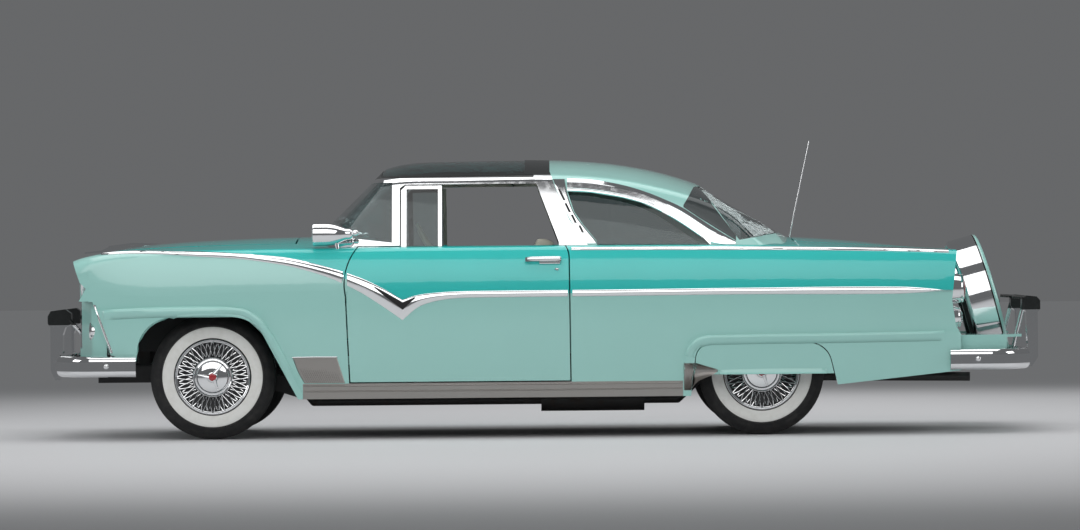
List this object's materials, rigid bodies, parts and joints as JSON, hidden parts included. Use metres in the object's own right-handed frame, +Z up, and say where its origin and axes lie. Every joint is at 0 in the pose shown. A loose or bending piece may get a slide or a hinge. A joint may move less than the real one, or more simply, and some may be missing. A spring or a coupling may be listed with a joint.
{
  "type": "two-door hardtop car",
  "caption": "Two-door hardtop car of the middle 1950s with a banded part-clear roof, skirted rear wheels and an outside spare wheel.",
  "frame": {"origin": "on the ground, in the middle of the car's length and width", "axes": "+X to the rear, +Y to the car's right, +Z up; the front faces -X"},
  "size_m": [5.382, 1.9286, 1.6008],
  "materials": {
    "paint_upper": "glossy",
    "paint_lower": "glossy",
    "chrome": "glossy",
    "black_metal": "glossy",
    "iron": "glossy",
    "glass": "glossy",
    "tinted_panel": "glossy",
    "lens": "glossy",
    "tyre": "glossy",
    "upholstery": "glossy",
    "dash_paint": "glossy",
    "plastic": "glossy"
  },
  "bodies": {
    "body": {"front_fenders": "paint_lower", "cowl_panel": "paint_upper", "windshield_frame": "chrome", "tiara_band": "chrome", "roof_rear": "paint_lower", "roof_front_panel": "tinted_panel", "fixed_glass": "glass", "quarter_panels": "paint_lower", "skirts": "paint_lower", "tail_panel": "paint_lower", "bumper_tray": "paint_lower", "rockers": "chrome", "floor_pan": "black_metal", "chassis_frame": "black_metal", "engine_block": "iron", "rear_axle": "iron", "exhaust": "iron", "fuel_tank": "black_metal", "front_suspension": "black_metal", "front_aprons": "black_metal", "front_bumper": "chrome", "rear_bumper": "chrome", "nose_panel": "paint_lower", "grille": "chrome", "headlamps": "paint_lower", "tail_lamps": "chrome", "lamp_lenses": "lens", "front_seat": "upholstery", "rear_seat": "upholstery", "dashboard": "dash_paint", "steering_column": "dash_paint", "antenna": "chrome", "spotlights": "chrome"},
    "hood": {"hood": "paint_upper", "hood_ornament": "chrome"},
    "decklid": {"decklid": "paint_upper"},
    "door_left": {"door_left": "paint_lower", "vent_glass_left": "glass", "door_trim_left": "chrome"},
    "door_right": {"door_right": "paint_lower", "vent_glass_right": "glass", "door_trim_right": "chrome"},
    "knuckle_left": {"knuckle_left": "iron"},
    "knuckle_right": {"knuckle_right": "iron"},
    "wheel_fl": {"tyre_fl": "tyre", "wheel_fl": "chrome"},
    "wheel_fr": {"tyre_fr": "tyre", "wheel_fr": "chrome"},
    "wheel_rl": {"tyre_rl": "tyre", "wheel_rl": "chrome"},
    "wheel_rr": {"tyre_rr": "tyre", "wheel_rr": "chrome"},
    "steering_wheel": {"steering_wheel": "plastic"},
    "spare": {"spare_cover": "paint_lower", "spare_carrier": "black_metal"}
  },
  "joints": [
    {"name": "steering_turn", "type": "hinge", "parent": "body", "child": "steering_wheel", "pos_m": [-0.581, -0.37, 0.95], "axis": [0.8829, 0, 0.4695], "range_deg": [-540, 540]},
    {"name": "knuckle_left_steer", "type": "hinge", "parent": "body", "child": "knuckle_left", "pos_m": [-1.773, -0.632, 0.335], "axis": [0, 0, 1], "range_deg": [-30, 30]},
    {"name": "knuckle_right_steer", "type": "hinge", "parent": "body", "child": "knuckle_right", "pos_m": [-1.773, 0.632, 0.335], "axis": [0, 0, 1], "range_deg": [-30, 30]},
    {"name": "wheel_fl_spin", "type": "hinge", "parent": "knuckle_left", "child": "wheel_fl", "pos_m": [-1.773, -0.7365, 0.335], "axis": [0, 1, 0], "continuous": true},
    {"name": "wheel_fr_spin", "type": "hinge", "parent": "knuckle_right", "child": "wheel_fr", "pos_m": [-1.773, 0.7365, 0.335], "axis": [0, 1, 0], "continuous": true},
    {"name": "wheel_rl_spin", "type": "hinge", "parent": "body", "child": "wheel_rl", "pos_m": [1.161, -0.711, 0.335], "axis": [0, 1, 0], "continuous": true},
    {"name": "wheel_rr_spin", "type": "hinge", "parent": "body", "child": "wheel_rr", "pos_m": [1.161, 0.711, 0.335], "axis": [0, 1, 0], "continuous": true},
    {"name": "door_left_swing", "type": "hinge", "parent": "body", "child": "door_left", "pos_m": [-1.044, -0.9555, 0.75], "axis": [0, 0, -1], "range_deg": [0, 65]},
    {"name": "door_right_swing", "type": "hinge", "parent": "body", "child": "door_right", "pos_m": [-1.044, 0.9555, 0.75], "axis": [0, 0, 1], "range_deg": [0, 65]},
    {"name": "hood_lift", "type": "hinge", "parent": "body", "child": "hood", "pos_m": [-1.238, 0, 1.045], "axis": [0, 1, 0], "range_deg": [0, 45]},
    {"name": "decklid_lift", "type": "hinge", "parent": "body", "child": "decklid", "pos_m": [1.256, 0, 1.028], "axis": [0, -1, 0], "range_deg": [0, 50]},
    {"name": "spare_tilt", "type": "hinge", "parent": "body", "child": "spare", "pos_m": [2.311, 0, 0.377], "axis": [0, 1, 0], "range_deg": [0, 20]}
  ],
  "couplings": [
    {"joint": "knuckle_left_steer", "follows": "steering_turn", "ratio": 0.055556},
    {"joint": "knuckle_right_steer", "follows": "steering_turn", "ratio": 0.055556}
  ]
}
